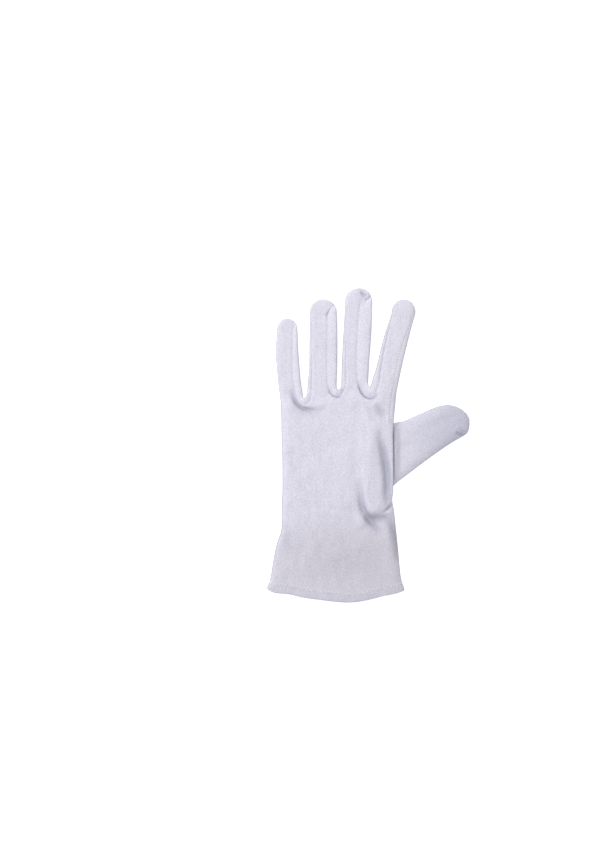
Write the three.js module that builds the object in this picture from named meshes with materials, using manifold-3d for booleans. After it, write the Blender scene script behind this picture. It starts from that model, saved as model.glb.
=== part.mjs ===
// A left-hand dress glove of white cotton, lying flat with its back up.
// Millimetres, +X to the index finger's side, +Y to the fingertips, +Z up, floor at z = 0.
// The origin is the middle of the glove's footprint.
import * as THREE from 'three';
import { mergeVertices } from 'three/addons/utils/BufferGeometryUtils.js';
import Module from 'manifold-3d';

const wasm = await Module();
wasm.setup();

// Driving dimensions
const WALL = 1.0; // cotton jersey, one layer
const HEM_WALL = 1.8; // the hem is turned in, so two layers
const HEM_DEPTH = 7.5;
const GAP = 0.3; // clearance between pieces that are sewn to each other
const EDGE_HEIGHT = 4.5; // height of the palm's and back's common edge above the underside
const BACK_ROUNDING = 9; // how far in from an edge the back curves down
const PALM_ROUNDING = 5;
const WEB_ROUNDING = 10; // how far the body curves down towards the webs
const FINGER_EDGE_HEIGHT = 3.8;
const FINGER_PALM_ROUNDING = 4;
const FINGER_RISE = 0.25; // the fingers' undersides clear the floor by this much
const OUT_OF_BODY = { y: 33, over: 30 }; // a finger levels out over this stretch
const TIP_OVAL = 2.2; // power of the oval that draws a fingertip in
const TIP_CROWN = 0.6; // how fast a fingertip thins towards its end, above and below its edge
const TIP_BELLY = 0.3;
const THUMB_LIFT = 7.0; // the palm is raised this much where it lies on the thumb
const BODY_OVER_THUMB = 7.6; // thickness of the body there
const THUMB_EDGE_HEIGHT = 3;
const THUMB_ROUNDING = 6;
const THUMB_BELLY = 0.6; // the thumb's underside is rounded over this share of THUMB_ROUNDING
const THUMB_TIP_SHARE = 0.12; // the thumb's hollow ends this share of a section earlier for each mm
const WELD = 0.02; // corners closer than this become one
const COTTON = { color: 0xe6e4ef, roughness: 0.95, metalness: 0 };
const FOURCHETTE_COTTON = { color: 0xdcdae6, roughness: 0.95, metalness: 0 };

// A table is rows of numbers under named columns.
const table = (columns, rows) =>
  rows.map((row) => Object.fromEntries(columns.map((column, i) => [column, row[i]])));

// Cuff's open edge, from the little finger's side to the index side
const CUFF_EDGE = table(['x', 'y'], [
  [-77.4, -110.4],
  [-73.0, -112.6],
  [-61.0, -113.9],
  [-49.0, -116.5],
  [-33.0, -118.6],
  [-20.0, -120.0],
  [-10.0, -119.9],
  [-1.0, -118.4],
  [13.0, -115.0],
  [20.5, -113.6],
  [27.6, -111.5],
]);

// Where the body ends between the fingers
const WEB_LINE = table(['x', 'y'], [
  [-68.0, 38.0],
  [-49.4, 35.4],
  [-22.9, 42.1],
  [1.2, 44.2],
  [22.0, 47.0],
]);

// Body: side edges and thickness
const BODY = table(['y', 'left', 'right', 'thick'], [
  [-110, -77.3, 27.6, 10.0],
  [-102, -74.7, 25.2, 10.0],
  [-90, -72.8, 23.8, 10.2],
  [-76, -70.0, 22.6, 10.6],
  [-66, -66.6, 21.5, 11.0],
  [-50, -66.1, 19.7, 11.4],
  [-42, -65.9, 18.2, 11.5],
  [-35, -65.6, 18.9, 11.5],
  [-8, -65.7, 19.0, 11.6],
  [10, -66.3, 18.8, 11.5],
  [28, -66.6, 20.2, 11.3],
  [47, -68.4, 22.2, 10.6],
]);

// Fingers: side edges and thickness, from inside the body to the shoulder of the tip
const FINGER_COLUMNS = ['y', 'left', 'right', 'thick'];
const FINGERS = {
  little: {
    sections: table(FINGER_COLUMNS, [
      [14, -62.5, -50.5, 7.6],
      [36, -67.4, -49.8, 8.2],
      [50, -69.0, -51.6, 8.4],
      [71, -70.7, -53.3, 8.2],
      [88, -69.6, -54.0, 7.4],
    ]),
    tip: { x: -61.6, y: 96.6 },
  },
  ring: {
    sections: table(FINGER_COLUMNS, [
      [18, -46.0, -25.5, 8.0],
      [38, -46.6, -24.6, 8.6],
      [60, -45.2, -23.7, 8.7],
      [85, -44.8, -23.5, 8.4],
      [101, -44.5, -24.0, 7.6],
    ]),
    tip: { x: -34.5, y: 111.4 },
  },
  middle: {
    sections: table(FINGER_COLUMNS, [
      [22, -20.5, -1.5, 8.2],
      [44, -20.4, -0.3, 8.8],
      [62, -20.0, 0.7, 8.9],
      [90, -18.6, 2.7, 8.6],
      [109, -17.6, 3.2, 7.8],
    ]),
    tip: { x: -6.3, y: 119.9 },
  },
  index: {
    sections: table(FINGER_COLUMNS, [
      [18, 2.0, 16.5, 5.6],
      [45, 2.2, 22.4, 8.8],
      [60, 6.4, 25.7, 8.8],
      [82, 11.9, 31.1, 8.5],
      [101, 18.0, 36.3, 7.8],
    ]),
    tip: { x: 27.5, y: 111.3 },
  },
};

// Fourchettes: the seam line down one finger, round the web and up the next finger
const WEB_COLUMNS = ['x', 'y'];
const WEBS = {
  fourchette_little_ring: table(WEB_COLUMNS, [
    [-52.5, 93.5],
    [-57.4, 84.0],
    [-57.6, 60.0],
    [-57.0, 43.0],
    [-54.6, 34.6],
    [-49.2, 30.8],
    [-44.6, 35.4],
    [-43.4, 45.0],
    [-42.4, 70.0],
    [-42.4, 92.0],
    [-46.5, 101.0],
  ]),
  fourchette_ring_middle: table(WEB_COLUMNS, [
    [-25.0, 108.0],
    [-30.4, 98.0],
    [-31.2, 70.0],
    [-31.0, 48.0],
    [-28.8, 39.8],
    [-23.4, 36.9],
    [-18.6, 41.0],
    [-17.0, 52.0],
    [-16.8, 80.0],
    [-16.8, 100.0],
    [-20.0, 108.0],
  ]),
  fourchette_middle_index: table(WEB_COLUMNS, [
    [1.5, 118.0],
    [-6.6, 100.0],
    [-8.6, 78.0],
    [-8.2, 55.0],
    [-5.6, 43.5],
    [0.8, 35.8],
    [6.2, 43.0],
    [9.0, 54.0],
    [12.6, 76.0],
    [16.6, 92.0],
    [17.0, 100.0],
  ]),
};

// Thumb: the two edge points of each section, from the hole in the palm out to the tip
const THUMB = table(['lowX', 'lowY', 'highX', 'highY', 'thick'], [
  [0.0, -46.0, 0.0, 0.0, 6.7],
  [10.0, -41.5, 8.0, 8.6, 6.7],
  [19.9, -30.9, 18.7, 16.1, 6.7],
  [33.2, -20.4, 27.0, 18.2, 7.4],
  [47.8, -9.5, 37.0, 22.4, 8.2],
  [62.0, 0.4, 47.5, 27.1, 8.6],
  [69.6, 4.9, 55.4, 29.9, 8.5],
  [75.7, 8.8, 63.0, 30.4, 7.8],
  [77.5, 14.0, 70.0, 28.2, 6.6],
  [77.6, 18.2, 75.0, 24.4, 4.6],
]);

// The oval hole in the palm side that the thumb is set in
const HOLE = { x: 1.5, y: -24, halfWidth: 11, halfLength: 27.5 };

// Folds and dents of the back: a straight stretch each, its half width and its height
const FOLDS = table(['fromX', 'fromY', 'toX', 'toY', 'reach', 'height'], [
  [0.0, 2.0, 1.5, -46.0, 8.0, 0.9], // swelling over the base of the thumb
  [6.3, 9.1, 10.6, -10.0, 4.0, -0.8], // long fold beside it
  [10.6, -10.0, 13.2, -42.0, 4.0, -0.9],
  [-10.1, -32.8, -7.4, -49.6, 4.5, -0.8], // dent round the foot of the swelling
  [-7.4, -49.6, 5.1, -67.2, 4.5, -0.9],
  [12.8, -58.0, 21.9, -80.1, 4.0, -0.8], // crease to the wrist
  [1.0, 30.0, 13.0, 21.0, 5.0, -0.7], // dent under the index finger
  [-57.4, 38.0, -50.5, 26.6, 4.0, -0.8], // hollow under the little finger's web
  [-50.5, 26.6, -39.1, 27.4, 4.0, -0.8],
  [-66.0, -6.0, -58.0, -8.0, 3.0, -0.8], // nick in the folded edge
]);

// Quarter circle: 0 at an edge, 1 from one rounding length in
const roundOver = (share) => Math.sqrt(1 - (1 - Math.min(Math.max(share, 0), 1)) ** 2);
const smoothStep = (share) => THREE.MathUtils.smoothstep(share, 0, 1);
const mix = THREE.MathUtils.lerp;

// Smooth curve through a table's rows: cubic, with each row's slope taken from the rows beside it
function curve(rows, key, column) {
  const last = rows.length - 1;
  const slope = (i) => {
    const before = rows[Math.max(i - 1, 0)];
    const after = rows[Math.min(i + 1, last)];
    return (after[column] - before[column]) / (after[key] - before[key]);
  };
  return (at) => {
    const next = rows.findIndex((row) => row[key] > at);
    const i = Math.min(Math.max(next < 0 ? last - 1 : next - 1, 0), last - 1);
    const step = rows[i + 1][key] - rows[i][key];
    const t = Math.min(Math.max((at - rows[i][key]) / step, 0), 1);
    const stay = (1 + 2 * t) * (1 - t) ** 2;
    return (
      rows[i][column] * stay +
      rows[i + 1][column] * (1 - stay) +
      step * (slope(i) * t * (1 - t) ** 2 - slope(i + 1) * t ** 2 * (1 - t))
    );
  };
}

// Where the cloth over the thumb is raised: from which line, and over what length it rises
const LIFT_SIDE = { x: -12, lean: 0.3, leansFrom: 16, over: 15 }; // far side of the hole
const LIFT_FOOT = { x: 19, y: -57, slope: 0.37 }; // on the palm, below the thumb
const LIFT_FULL = { y: -32, slope: 1.1 }; // along the thumb's lower edge
const LIFT_FADE = { y: 22, over: 84 }; // along the index finger

// How much the cloth over the thumb is raised. It is full beside the hole, falls to the floor at
// the hole's far side and below the thumb, and fades slowly along the index finger.
function liftAt(x, y) {
  const sideX = LIFT_SIDE.x + LIFT_SIDE.lean * Math.max(y - LIFT_SIDE.leansFrom, 0);
  const footY = LIFT_FOOT.y - LIFT_FOOT.slope * (LIFT_FOOT.x - x);
  const fullY = LIFT_FULL.y - LIFT_FULL.slope * (LIFT_FOOT.x - x);
  const across = smoothStep((x - sideX) / LIFT_SIDE.over);
  const below = smoothStep((y - footY) / (fullY - footY));
  const above = 1 - smoothStep((y - LIFT_FADE.y) / LIFT_FADE.over);
  return THUMB_LIFT * across * below * above;
}

// Height that the folds add at a point: each is a smooth ridge or valley along its stretch.
function foldsAt(x, y) {
  return FOLDS.reduce((sum, fold) => {
    const runX = fold.toX - fold.fromX;
    const runY = fold.toY - fold.fromY;
    const along = ((x - fold.fromX) * runX + (y - fold.fromY) * runY) / (runX ** 2 + runY ** 2);
    const t = Math.min(Math.max(along, 0), 1);
    const off = Math.hypot(x - fold.fromX - t * runX, y - fold.fromY - t * runY);
    return sum + fold.height * Math.exp(-((off / fold.reach) ** 2) * 2);
  }, 0);
}

// Distances from the left edge of the columns across a section: close in the rounded edges, which
// take up less than half the width each
const MOST_ROUNDED = 0.46;
function columnsAcross(width, rounding, roundSteps, flatSteps) {
  const edge = Math.min(rounding, width * MOST_ROUNDED);
  const rounded = Array.from(
    { length: roundSteps },
    (_, k) => edge * (1 - Math.cos((k / roundSteps) * (Math.PI / 2))),
  );
  const flat = Array.from(
    { length: flatSteps + 1 },
    (_, k) => edge + ((width - 2 * edge) * k) / flatSteps,
  );
  return [...rounded, ...flat, ...rounded.map((d) => width - d).reverse()];
}

// A closed solid from sections, each a row of columns [x, y, underside z, upper side z] whose
// first and last columns are its edges, where both sides meet. Both ends are closed flat.
function solidThrough(sections) {
  const columns = sections[0].length;
  const ringSize = 2 * columns - 2;
  const positions = sections.flatMap((columnsOfRow) => [
    ...columnsOfRow.flatMap(([x, y, under]) => [x, y, under]),
    ...columnsOfRow.slice(1, -1).reverse().flatMap(([x, y, , upper]) => [x, y, upper]),
  ]);
  const faces = [];
  const quad = (a, b, c, d) => faces.push(a, b, c, a, c, d);
  for (let row = 0; row + 1 < sections.length; row++) {
    for (let k = 0; k < ringSize; k++) {
      const here = row * ringSize + k;
      const beside = row * ringSize + ((k + 1) % ringSize);
      quad(here, here + ringSize, beside + ringSize, beside);
    }
  }
  const close = (row, facesBack) => {
    for (let k = 0; k + 1 < columns; k++) {
      const under = [row * ringSize + k, row * ringSize + k + 1];
      const upper = under.map((_, i) => row * ringSize + ((ringSize - k - i) % ringSize));
      const loop = [under[0], under[1], upper[1], upper[0]].filter((v, i, all) => all.indexOf(v) === i);
      if (!facesBack) loop.reverse();
      for (let i = 1; i + 1 < loop.length; i++) faces.push(loop[0], loop[i], loop[i + 1]);
    }
  };
  close(0, true);
  close(sections.length - 1, false);
  const geometry = new THREE.BufferGeometry();
  geometry.setAttribute('position', new THREE.Float32BufferAttribute(positions, 3));
  geometry.setIndex(faces);
  return toSolid(geometry);
}

function toSolid(geometry) {
  geometry.deleteAttribute('normal');
  geometry.deleteAttribute('uv');
  const merged = mergeVertices(geometry);
  const mesh = new wasm.Mesh({
    numProp: 3,
    vertProperties: new Float32Array(merged.attributes.position.array),
    triVerts: new Uint32Array(merged.index.array),
  });
  return new wasm.Manifold(mesh);
}

// A named mesh of a solid, without the tiny triangles that cuts leave
function toMesh(solid, name, look) {
  const { vertProperties, triVerts } = solid.getMesh();
  const cut = new THREE.BufferGeometry();
  cut.setAttribute('position', new THREE.BufferAttribute(vertProperties, 3));
  cut.setIndex(new THREE.BufferAttribute(triVerts, 1));
  const geometry = mergeVertices(cut, WELD);
  const corners = Array.from(geometry.index.array);
  const kept = corners.filter((_, i) => {
    const [a, b, c] = corners.slice(i - (i % 3), i - (i % 3) + 3);
    return a !== b && b !== c && c !== a;
  });
  geometry.setIndex(kept);
  const mesh = new THREE.Mesh(geometry, new THREE.MeshStandardMaterial(look));
  mesh.name = name;
  return mesh;
}

// An upright prism over a plan outline, from z = bottom to z = top
function prism(points, bottom, top) {
  const outline = new THREE.Shape(points);
  const geometry = new THREE.ExtrudeGeometry(outline, { depth: top - bottom, bevelEnabled: false });
  return toSolid(geometry.translate(0, 0, bottom));
}

// How far along the body its rows are, from the cuff's edge, 0, to the line of the webs, 1. They
// lie closer where the webs round off, and a hollow starts past the cuff's edge.
const BODY_ROWS = [
  0.07, 0.15, 0.23, 0.3, 0.37, 0.44, 0.5, 0.56, 0.62, 0.68, 0.745, 0.81, 0.87, 0.915, 0.95, 0.978,
  0.996,
];
const PAST_CUFF = -0.03;

// The body between cuff and webs, taken in by inset on every side and lowered by drop. The rows
// follow the cuff's edge at one end and the line of the webs at the other.
function bodySolid(inset, drop = 0) {
  const left = curve(BODY, 'y', 'left');
  const right = curve(BODY, 'y', 'right');
  const thick = curve(BODY, 'y', 'thick');
  const cuffY = curve(CUFF_EDGE, 'x', 'y');
  const webY = curve(WEB_LINE, 'x', 'y');
  const cuffLeft = CUFF_EDGE[0];
  const cuffRight = CUFF_EDGE.at(-1);
  const webLeft = WEB_LINE[0];
  const webRight = WEB_LINE.at(-1);
  const firstRow = inset > 0 ? PAST_CUFF : 0;
  const sections = [firstRow, ...BODY_ROWS].map((along) => {
    const leftY = mix(cuffLeft.y, webLeft.y, along);
    const rightY = mix(cuffRight.y, webRight.y, along);
    const leftX = left(leftY) + inset;
    const rightX = right(rightY) - inset;
    const width = rightX - leftX;
    const rounding = BACK_ROUNDING - inset;
    return columnsAcross(width, rounding, 3, 12).map((d) => {
      const x = leftX + d;
      const share = d / width;
      const footX = mix(cuffLeft.x, cuffRight.x, share);
      const headX = mix(webLeft.x, webRight.x, share);
      const foot = cuffY(footX);
      const head = webY(headX);
      const y = mix(foot, head - inset, along);
      const fromSide = Math.min(d, width - d);
      const fromWeb = Math.max(head - inset - y, 0);
      const lift = liftAt(x, y) - drop;
      const height = mix(thick(y), BODY_OVER_THUMB, (lift + drop) / THUMB_LIFT);
      const edge = Math.min(EDGE_HEIGHT, height / 2);
      const rounded = roundOver(fromSide / rounding) * roundOver(fromWeb / (WEB_ROUNDING - inset));
      const underRounding = PALM_ROUNDING - inset;
      const belly = roundOver(fromSide / underRounding) * roundOver(fromWeb / underRounding);
      const fold = foldsAt(x, y) * rounded;
      return [
        x,
        y,
        lift + edge - (edge - inset) * belly,
        lift + edge + (height - edge - inset) * rounded + fold,
      ];
    });
  });
  return solidThrough(sections);
}

// A finger from inside the body to its rounded tip, taken in by inset
const FINGER_ROWS = 7; // up to the shoulder
const TIP_ROWS = [0.4, 0.7, 0.9, 0.99]; // from the shoulder to the tip
function fingerSolid({ sections, tip }, inset) {
  const left = curve(sections, 'y', 'left');
  const right = curve(sections, 'y', 'right');
  const thick = curve(sections, 'y', 'thick');
  const rootY = sections[0].y;
  const shoulderY = sections.at(-1).y;
  const tipY = tip.y - inset;
  const straightRows = Array.from({ length: FINGER_ROWS }, (_, k) =>
    mix(rootY, shoulderY, k / (FINGER_ROWS - 1)),
  );
  const tipRows = TIP_ROWS.map((share) => mix(shoulderY, tipY, share));
  return solidThrough(
    [...straightRows, ...tipRows].map((y) => {
      const intoTip = Math.max((y - shoulderY) / (tipY - shoulderY), 0);
      const narrowing = Math.sqrt(1 - intoTip ** TIP_OVAL);
      const leftX = mix(tip.x, left(y) + inset, narrowing);
      const rightX = mix(tip.x, right(y) - inset, narrowing);
      const width = rightX - leftX;
      const middleX = (leftX + rightX) / 2;
      const middleLift = liftAt(middleX, y);
      const outOfBody = smoothStep((y - OUT_OF_BODY.y) / OUT_OF_BODY.over);
      const height = thick(y);
      const edge = FINGER_EDGE_HEIGHT;
      return columnsAcross(width, width / 2, 3, 1).map((d) => {
        const fromSide = Math.min(d, width - d);
        const lift = FINGER_RISE + mix(liftAt(leftX + d, y), middleLift, outOfBody);
        const rounded = roundOver((fromSide / width) * 2) * narrowing ** TIP_CROWN;
        const underRounding = Math.min(FINGER_PALM_ROUNDING - inset, width / 2);
        const belly = roundOver(fromSide / underRounding) * narrowing ** TIP_BELLY;
        return [
          leftX + d,
          y,
          lift + edge - (edge - inset) * belly,
          lift + edge + (height - edge - inset) * rounded,
        ];
      });
    }),
  );
}

// The thumb's tube through its table of edge points, taken in by inset
const THUMB_STEPS = 13;
function thumbTube(inset) {
  const along = THUMB.map((row, i) => ({ ...row, i }));
  const column = (name) => curve(along, 'i', name);
  const [lowX, lowY, highX, highY, thick] = ['lowX', 'lowY', 'highX', 'highY', 'thick'].map(column);
  const end = THUMB.length - 1 - inset * THUMB_TIP_SHARE;
  return solidThrough(
    Array.from({ length: THUMB_STEPS + 1 }, (_, k) => {
      const at = (end * k) / THUMB_STEPS;
      const low = new THREE.Vector2(lowX(at), lowY(at));
      const high = new THREE.Vector2(highX(at), highY(at));
      const width = low.distanceTo(high);
      const toHigh = high.clone().sub(low).divideScalar(width);
      const height = thick(at);
      const edge = Math.min(THUMB_EDGE_HEIGHT, height / 2);
      const clear = width - 2 * inset;
      return columnsAcross(clear, THUMB_ROUNDING, 3, 2)
        .map((d) => {
          const fromSide = Math.min(d, clear - d);
          const rounding = Math.min(THUMB_ROUNDING, clear / 2);
          const point = low.clone().addScaledVector(toHigh, d + inset);
          return [
            point.x,
            point.y,
            edge - (edge - inset) * roundOver(fromSide / (rounding * THUMB_BELLY)),
            edge + (height - edge - inset) * roundOver(fromSide / rounding),
          ];
        })
        .reverse();
    }),
  );
}

// Plan outline of the thumb's hole, grown by a margin
const HOLE_STEPS = 24;
const holeOutline = (margin) =>
  new THREE.EllipseCurve(HOLE.x, HOLE.y, HOLE.halfWidth + margin, HOLE.halfLength + margin)
    .getPoints(HOLE_STEPS)
    .slice(0, -1);

// Plan outline of a fourchette: inside its seam line, moved out by a margin, and open past the tips
const SEAM_STEPS = 22;
function webOutline(seam, margin) {
  const line = new THREE.SplineCurve(seam.map(({ x, y }) => new THREE.Vector2(x, y)));
  return Array.from({ length: SEAM_STEPS + 1 }, (_, k) => {
    const run = line.getTangent(k / SEAM_STEPS);
    const outward = new THREE.Vector2(run.y, -run.x);
    return line.getPoint(k / SEAM_STEPS).addScaledVector(outward, margin);
  });
}

// Plan outline of the hem: the strip within HEM_DEPTH of the cuff's edge, and well past it
const HEM_STEPS = 16;
const BESIDE_HEM = 6;
const BELOW_HEM = 30;
function hemOutline(margin) {
  const cuffY = curve(CUFF_EDGE, 'x', 'y');
  const inner = Array.from({ length: HEM_STEPS + 1 }, (_, k) => {
    const x = mix(CUFF_EDGE[0].x - BESIDE_HEM, CUFF_EDGE.at(-1).x + BESIDE_HEM, k / HEM_STEPS);
    return new THREE.Vector2(x, cuffY(x) + HEM_DEPTH + margin);
  });
  const below = CUFF_EDGE[0].y - BELOW_HEM;
  return [...inner, new THREE.Vector2(inner.at(-1).x, below), new THREE.Vector2(inner[0].x, below)];
}

const fingerShapes = Object.values(FINGERS);
const outside = fingerShapes.reduce((all, finger) => all.add(fingerSolid(finger, 0)), bodySolid(0));
const hollow = fingerShapes.reduce((all, finger) => all.add(fingerSolid(finger, WALL)), bodySolid(WALL));
const cloth = outside.subtract(hollow);
const UNDER = -1; // a cutting prism runs from below the floor to above the glove
const TALL = 40;

const hem = outside.intersect(prism(hemOutline(0), UNDER, TALL)).subtract(bodySolid(HEM_WALL));

const fourchettes = Object.entries(WEBS).map(([name, seam]) => ({
  name,
  solid: cloth.intersect(prism(webOutline(seam, 0), UNDER, TALL)),
}));

const holeTop = THUMB_LIFT + 2 * WALL; // through the palm's raised layer, and no further
const trank = Object.values(WEBS)
  .reduce((rest, seam) => rest.subtract(prism(webOutline(seam, GAP), UNDER, TALL)), cloth)
  .subtract(prism(hemOutline(GAP), UNDER, TALL))
  .subtract(prism(holeOutline(0), UNDER, holeTop));

// The thumb is a tube, open on top where the palm's hole is. Its lower layer fills the hole's plan,
// and its rim rises from there to the underside of the raised palm.
const underPalm = bodySolid(0, GAP);
const thumbHollow = thumbTube(WALL);
const rim = prism(holeOutline(-GAP), 0, THUMB_LIFT)
  .subtract(prism(holeOutline(-GAP - WALL), UNDER, TALL))
  .subtract(underPalm);
const thumb = thumbTube(0)
  .subtract(prism(holeOutline(0), WALL, TALL))
  .add(rim)
  .subtract(thumbHollow)
  .add(prism(holeOutline(-GAP), 0, WALL));

const glove = new THREE.Group();
glove.name = 'serving_glove';
glove.add(toMesh(trank, 'trank', COTTON));
fourchettes.forEach(({ name, solid }) => glove.add(toMesh(solid, name, FOURCHETTE_COTTON)));
glove.add(toMesh(thumb, 'thumb', COTTON));
glove.add(toMesh(hem, 'cuff_hem', COTTON));

export default glove;
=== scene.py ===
import bpy
import numpy as np
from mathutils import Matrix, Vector


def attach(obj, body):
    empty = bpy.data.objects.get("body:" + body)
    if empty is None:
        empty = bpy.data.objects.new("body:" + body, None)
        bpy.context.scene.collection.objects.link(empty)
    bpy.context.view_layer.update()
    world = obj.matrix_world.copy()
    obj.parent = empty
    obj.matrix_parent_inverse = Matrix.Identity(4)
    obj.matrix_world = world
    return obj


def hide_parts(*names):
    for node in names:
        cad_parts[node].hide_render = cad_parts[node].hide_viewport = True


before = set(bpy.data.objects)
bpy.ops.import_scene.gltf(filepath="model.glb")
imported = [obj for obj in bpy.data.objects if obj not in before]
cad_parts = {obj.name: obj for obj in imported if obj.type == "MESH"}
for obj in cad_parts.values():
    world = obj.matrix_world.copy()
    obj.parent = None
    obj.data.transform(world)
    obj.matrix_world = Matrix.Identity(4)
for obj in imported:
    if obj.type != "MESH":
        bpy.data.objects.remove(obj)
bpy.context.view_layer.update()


# Trank: the one piece of white cotton jersey that is the back, the palm and the fronts and backs
# of the fingers. It is folded along the little finger's side, and a stitched seam closes it at
# the index side. Lengths are millimetres here, and put() turns them into metres.
MM = 0.001
CLOTH = 0.7


def smooth_curve(knots, values):
    """Cubic through the knots. The slope at each is that of the chord between its neighbours."""
    knots, values = np.asarray(knots, float), np.asarray(values, float)
    last = len(knots) - 1
    before = np.maximum(np.arange(last + 1) - 1, 0)
    after = np.minimum(np.arange(last + 1) + 1, last)
    slopes = (values[after] - values[before]) / (knots[after] - knots[before])

    def at(x):
        x = np.asarray(x, float)
        i = np.clip(np.searchsorted(knots, x, side="right") - 1, 0, last - 1)
        step = knots[i + 1] - knots[i]
        t = np.clip((x - knots[i]) / step, 0, 1)
        stay = (1 + 2 * t) * (1 - t) ** 2
        bend = slopes[i] * t * (1 - t) ** 2 - slopes[i + 1] * t**2 * (1 - t)
        return values[i] * stay + values[i + 1] * (1 - stay) + step * bend

    return at


def round_over(share, flatness=2.0):
    """0 at an edge, 1 from one rounding length in: (1 - (1 - share)^p)^(1/p), a quarter circle
    where the flatness p is 2 and squarer above."""
    return (1 - (1 - np.clip(share, 0, 1)) ** flatness) ** (1 / flatness)


def smooth_step(share):
    """3s^2 - 2s^3 between 0 and 1."""
    s = np.clip(share, 0, 1)
    return s * s * (3 - 2 * s)


def mix(a, b, share):
    """a at share 0, b at share 1, in a straight line."""
    return a + (b - a) * share


# y, left edge, right edge, thickness
BODY = np.array([
    (-110, -77.3, 27.6, 10.0),
    (-102, -74.7, 25.2, 10.0),
    (-90, -72.8, 23.8, 10.2),
    (-76, -70.0, 22.6, 10.6),
    (-66, -66.6, 21.5, 11.0),
    (-50, -66.1, 19.7, 11.4),
    (-42, -65.9, 18.2, 11.5),
    (-35, -65.6, 18.9, 11.5),
    (-8, -65.7, 19.0, 11.6),
    (10, -66.3, 18.8, 11.5),
    (28, -66.6, 20.2, 11.3),
    (47, -68.4, 22.2, 10.6),
])
body_left = smooth_curve(BODY[:, 0], BODY[:, 1])
body_right = smooth_curve(BODY[:, 0], BODY[:, 2])
body_thick = smooth_curve(BODY[:, 0], BODY[:, 3])

# x and y of the cuff's open edge, and of the line where the body ends between the fingers
CUFF_EDGE = np.array([
    (-77.4, -110.4), (-73.0, -112.6), (-61.0, -113.9), (-49.0, -116.5), (-33.0, -118.6),
    (-20.0, -120.0), (-10.0, -119.9), (-1.0, -118.4), (13.0, -115.0), (20.5, -113.6),
    (27.6, -111.5),
])
WEB_LINE = np.array([(-68.0, 38.0), (-49.4, 35.4), (-22.9, 42.1), (1.2, 44.2), (22.0, 47.0)])
cuff_y = smooth_curve(CUFF_EDGE[:, 0], CUFF_EDGE[:, 1])
web_y = smooth_curve(WEB_LINE[:, 0], WEB_LINE[:, 1])

# Fingers: rows of y, left edge, right edge and thickness up to the tip's shoulder, then the tip
FINGERS = {
    "little": (
        [(14, -62.5, -50.5, 7.6), (36, -67.4, -49.8, 8.2), (50, -69.0, -51.6, 8.4),
         (71, -70.7, -53.3, 8.2), (88, -69.6, -54.0, 7.4)],
        (-61.6, 96.6),
    ),
    "ring": (
        [(18, -46.0, -25.5, 8.0), (38, -46.6, -24.6, 8.6), (60, -45.2, -23.7, 8.7),
         (85, -44.8, -23.5, 8.4), (101, -44.5, -24.0, 7.6)],
        (-34.5, 111.4),
    ),
    "middle": (
        [(22, -20.5, -1.5, 8.2), (44, -20.4, -0.3, 8.8), (62, -20.0, 0.7, 8.9),
         (90, -18.6, 2.7, 8.6), (109, -17.6, 3.2, 7.8)],
        (-6.3, 119.9),
    ),
    "index": (
        [(18, 2.0, 16.5, 5.6), (45, 2.2, 22.4, 8.8), (60, 6.4, 25.7, 8.8),
         (82, 11.9, 31.1, 8.5), (101, 18.0, 36.3, 7.8)],
        (27.5, 111.3),
    ),
}
TIP_POWER = 2.2
TIP_LEAST = 0.0004


class Finger:
    """A finger's edges: smooth curves to the shoulder, then drawn in to the tip along an oval."""

    def __init__(self, rows, tip):
        rows = np.array(rows, float)
        self.root_y, self.shoulder_y = rows[0, 0], rows[-1, 0]
        self.tip_x, self.tip_y = tip
        self.straight_left = smooth_curve(rows[:, 0], rows[:, 1])
        self.straight_right = smooth_curve(rows[:, 0], rows[:, 2])
        self.thick = smooth_curve(rows[:, 0], rows[:, 3])

    def narrowing(self, y):
        """1 up to the shoulder and sqrt(1 - t^p) at the share t of the way from there to the tip,
        kept just over 0."""
        into_tip = np.clip((y - self.shoulder_y) / (self.tip_y - self.shoulder_y), 0, 1)
        return np.sqrt(np.maximum(1 - into_tip**TIP_POWER, TIP_LEAST))

    def left(self, y):
        return mix(self.tip_x, self.straight_left(y), self.narrowing(y))

    def right(self, y):
        return mix(self.tip_x, self.straight_right(y), self.narrowing(y))


fingers = [Finger(*measures) for measures in FINGERS.values()]
INDEX = len(fingers) - 1

# Webs between the fingers. The seam runs down one finger, round under the web and up the next:
# its lowest point, the lengths over which it turns up on either side, and for each side its x at
# the bottom, half way and top, and the y where it meets the finger's edge. gap is the lowest
# point between the fingers, and the length over which their edges turn up from it.
WEBS = [
    dict(name="fourchette_little_ring", low=(-48.5, 30.7), turn=(27.0, 9.5),
         gap=(-49.4, 35.4, 6.0),
         left=(-57.4, -57.6, -57.2, 94.5), right=(-43.4, -42.9, -42.4, 98.0)),
    dict(name="fourchette_ring_middle", low=(-23.7, 36.9), turn=(13.0, 15.0),
         gap=(-22.9, 42.1, 5.0),
         left=(-31.0, -31.2, -30.6, 106.5), right=(-16.8, -16.8, -16.6, 109.5)),
    dict(name="fourchette_middle_index", low=(0.9, 35.8), turn=(21.0, 14.0),
         gap=(1.2, 44.2, 4.0),
         left=(-8.2, -8.5, -5.8, 115.0), right=(6.6, 11.4, 18.9, 101.0)),
]
SEAM_END = 9.0


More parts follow.
